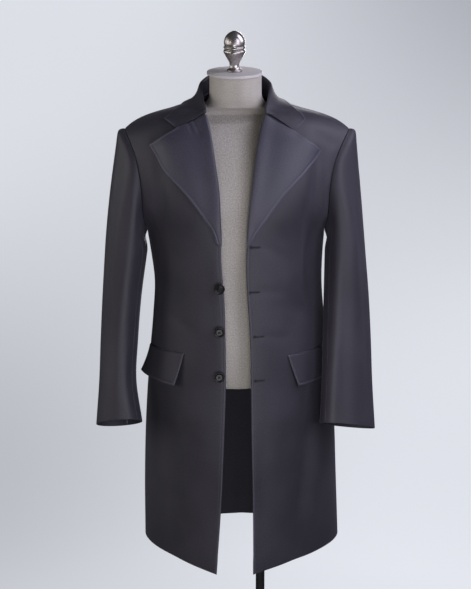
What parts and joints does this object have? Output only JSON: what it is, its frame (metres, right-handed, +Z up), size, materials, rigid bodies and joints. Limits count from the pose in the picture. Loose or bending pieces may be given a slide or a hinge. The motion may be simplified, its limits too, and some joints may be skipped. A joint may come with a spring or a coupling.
{
  "type": "frock coat on a dress form",
  "caption": "Long single-breasted frock coat with wide notched lapels and flapped pockets, worn open on a limbless dress form with a finial and a round base.",
  "frame": {"origin": "middle of the whole object's outline seen from above, on the floor it stands on", "axes": "+Z up, -Y the coat's front, +X the wearer's left"},
  "size_m": [0.6125, 0.3704, 1.5819],
  "materials": {
    "coat_wool": "fine worsted with a soft satin sheen",
    "facing_wool": "the same worsted, turned back as the lapels",
    "horn": "polished black",
    "jersey": "matt jersey cover",
    "board": "matt painted board",
    "aged_silver": "aged silvered metal",
    "dark_steel": "satin black"
  },
  "bodies": {
    "root": {"front_right": "coat_wool", "front_left": "coat_wool", "back": "coat_wool", "sleeve_top_right": "coat_wool", "sleeve_top_left": "coat_wool", "sleeve_under_right": "coat_wool", "sleeve_under_left": "coat_wool", "collar": "coat_wool", "lapel_right": "facing_wool", "lapel_left": "facing_wool", "flap_right": "coat_wool", "flap_left": "coat_wool", "button_top": "horn", "button_middle": "horn", "button_bottom": "horn", "form_torso": "jersey", "form_neck_cap": "board", "form_finial": "aged_silver", "stand_pole": "dark_steel", "stand_base": "dark_steel"}
  },
  "joints": []
}
